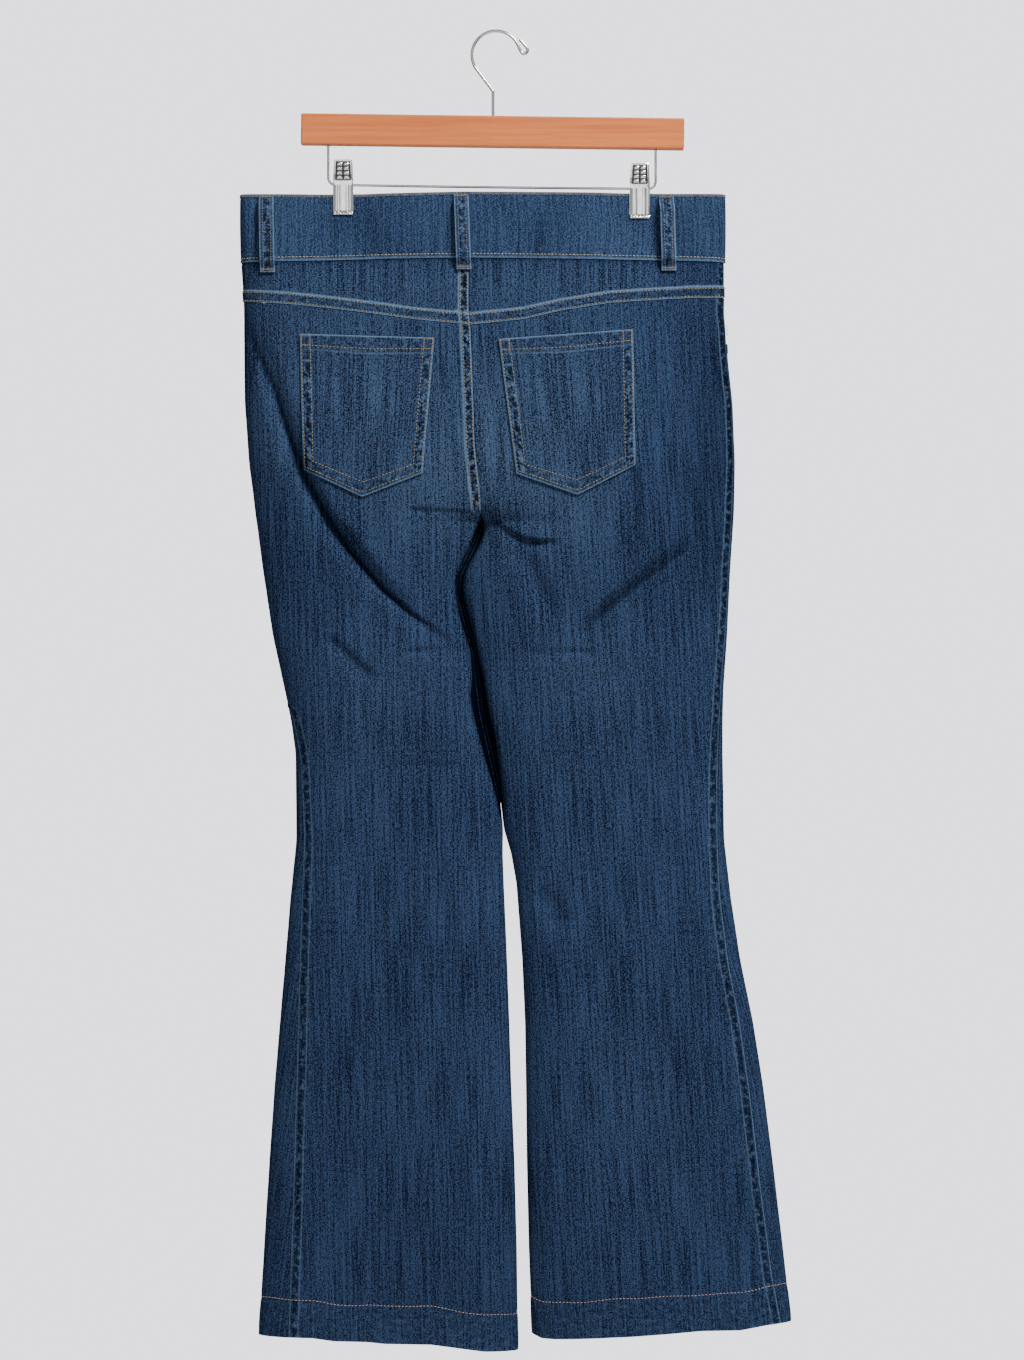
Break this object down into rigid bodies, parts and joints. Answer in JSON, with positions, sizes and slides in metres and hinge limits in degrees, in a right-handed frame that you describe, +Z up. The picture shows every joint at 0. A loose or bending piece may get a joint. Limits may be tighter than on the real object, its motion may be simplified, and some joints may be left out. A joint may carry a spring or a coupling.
{
  "type": "bootcut jeans on a clip hanger",
  "caption": "Pull-on style bootcut denim jeans, seen from behind, hung by the waistband from sprung clips on a flat wooden hanger with a wire hook.",
  "frame": {"origin": "inside top of the hanger's hook, where it rests on a rail or nail", "axes": "+Z up; the garment's back faces -Y, as a viewer at -Y sees it, with +X to that viewer's right"},
  "size_m": [0.5114, 0.0521, 1.2246],
  "materials": {
    "denim": "stretch denim, mid blue with lengthwise slubs",
    "denim_band": "stretch denim, doubled, mid blue",
    "denim_facing": "stretch denim, mid blue",
    "wood": "varnished",
    "chrome": "polished"
  },
  "bodies": {
    "root": {"back_left": "denim", "back_right": "denim", "front_left": "denim", "front_right": "denim", "yoke_left": "denim", "yoke_right": "denim", "waistband": "denim_band", "back_pocket_left": "denim", "back_pocket_right": "denim", "front_pocket_facing_left": "denim_facing", "front_pocket_facing_right": "denim_facing", "belt_loop_back_left": "denim_band", "belt_loop_back_centre": "denim_band", "belt_loop_back_right": "denim_band", "belt_loop_front_left": "denim_band", "belt_loop_front_right": "denim_band", "hanger_bar": "wood", "hanger_hook": "chrome", "clip_wire": "chrome", "clip_left_jaw_back": "chrome", "clip_left_jaw_front": "chrome", "clip_left_spring": "chrome", "clip_right_jaw_back": "chrome", "clip_right_jaw_front": "chrome", "clip_right_spring": "chrome"}
  },
  "joints": []
}
